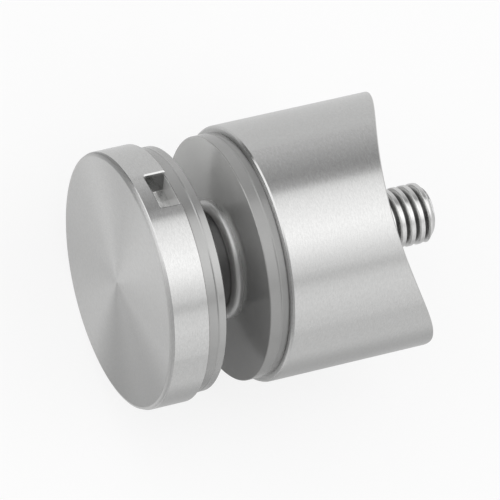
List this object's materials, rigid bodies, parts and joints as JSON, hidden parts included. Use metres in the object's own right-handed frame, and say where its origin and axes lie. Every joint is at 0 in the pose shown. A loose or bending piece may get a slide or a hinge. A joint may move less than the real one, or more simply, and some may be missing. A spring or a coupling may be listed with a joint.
{
  "type": "glass standoff",
  "caption": "Round stainless glass standoff: a cap and threaded stud clamp a drilled panel between plastic rings against a body with a saddle for a round post.",
  "frame": {"origin": "on the standoff's axis, at the bottom of the saddle where it meets the post", "axes": "+Y along the axis from the glass to the post, +Z along the post, +X across"},
  "size_m": [0.05, 0.0648, 0.05],
  "materials": {
    "body_steel": "satin, brushed round the axis",
    "cap_steel": "satin, turned face and brushed rim",
    "stud_steel": "plain rolled thread",
    "gasket": "semi-gloss, with a parting line round the rim",
    "bush": "glossy"
  },
  "bodies": {
    "base": {"saddle_body": "body_steel", "rear_gasket": "gasket", "glass_bush": "bush"},
    "front_seal": {"front_gasket": "gasket"},
    "cap_and_stud": {"cap": "cap_steel", "stud": "stud_steel"}
  },
  "joints": [
    {"name": "cap_draw_out", "type": "slide", "parent": "base", "child": "front_seal", "axis": [0, -1, 0], "range_m": [0, 0.055]},
    {"name": "cap_turn", "type": "hinge", "parent": "front_seal", "child": "cap_and_stud", "pos_m": [0, -0.0398, 0], "axis": [0, 1, 0], "continuous": true}
  ]
}
